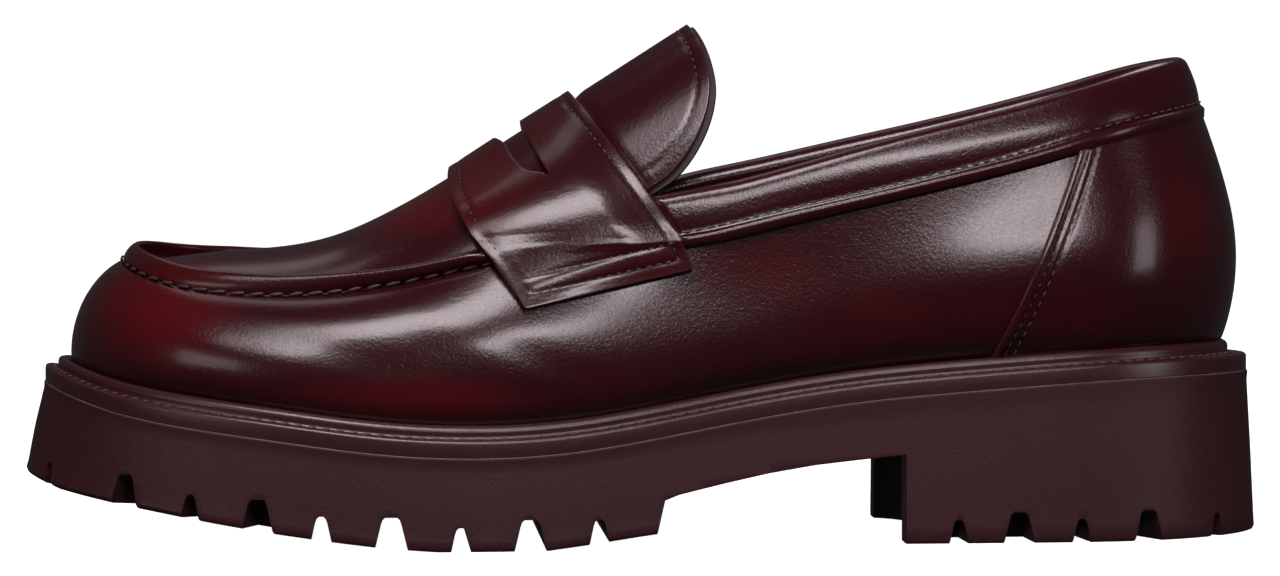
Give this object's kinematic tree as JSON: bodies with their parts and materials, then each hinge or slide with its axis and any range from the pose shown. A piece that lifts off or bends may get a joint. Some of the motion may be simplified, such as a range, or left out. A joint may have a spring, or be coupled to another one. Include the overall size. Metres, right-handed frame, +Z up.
{
  "type": "lug sole loafer",
  "caption": "Left leather slip-on loafer with moccasin seam, saddle strap with penny slot, stand-up tongue and folded collar on a thick lug sole with block heel",
  "frame": {"origin": "middle of the underside of the bounding box, on the floor the shoe stands on", "axes": "+X from toe to heel along the shoe, +Y towards the inner side of the foot, +Z up"},
  "size_m": [0.2858, 0.1054, 0.1181],
  "materials": {
    "outsole_rubber": "satin",
    "welt_rubber": "satin",
    "insole_leather": "matte",
    "upper_leather": "polished",
    "collar_leather": "polished",
    "counter_leather": "polished",
    "strap_leather": "polished",
    "tongue_leather": "polished"
  },
  "bodies": {
    "root": {"outsole": "outsole_rubber", "welt": "welt_rubber", "insole": "insole_leather", "upper": "upper_leather", "collar_band": "collar_leather", "heel_counter": "counter_leather", "saddle_strap": "strap_leather", "tongue": "tongue_leather"}
  },
  "joints": []
}
